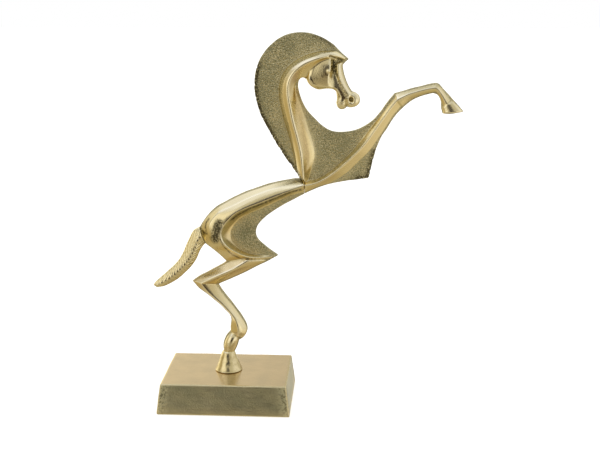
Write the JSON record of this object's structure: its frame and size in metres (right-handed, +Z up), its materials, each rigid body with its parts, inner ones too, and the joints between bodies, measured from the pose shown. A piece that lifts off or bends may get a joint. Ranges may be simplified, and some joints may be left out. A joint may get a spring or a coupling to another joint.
{
  "type": "rearing horse figurine on a plinth",
  "caption": "Cast brass rearing horse, flat and two-sided with keeled limbs and a broad mane plate, standing on one hind leg on a hollow rectangular plinth with a felt foot.",
  "frame": {"origin": "centre of the plinth's footprint, on the underside of the felt", "axes": "+Z up; +X the way the horse faces; the horse's middle plane is Y = 0"},
  "size_m": [0.1948, 0.0618, 0.238],
  "materials": {
    "polished_brass": "polished limbs and keels, sand-cast satin plates",
    "plinth_brass": "satin, with cast grain on the sides",
    "pin_brass": "drawn rod",
    "zinc_steel": "zinc plated",
    "hardboard": "pressed board",
    "felt": "wool felt"
  },
  "bodies": {
    "root": {"plinth": "plinth_brass", "hind_hoof": "polished_brass", "hindquarters_casting": "polished_brass", "forehand_casting": "polished_brass", "tail_casting": "polished_brass", "withers_dowels": "pin_brass", "tail_dowel": "pin_brass", "mounting_stud": "zinc_steel", "locating_pin": "zinc_steel", "flat_washer": "zinc_steel", "lock_washer": "zinc_steel", "hex_nut": "zinc_steel", "backing_board": "hardboard", "felt_sheet": "felt"}
  },
  "joints": []
}
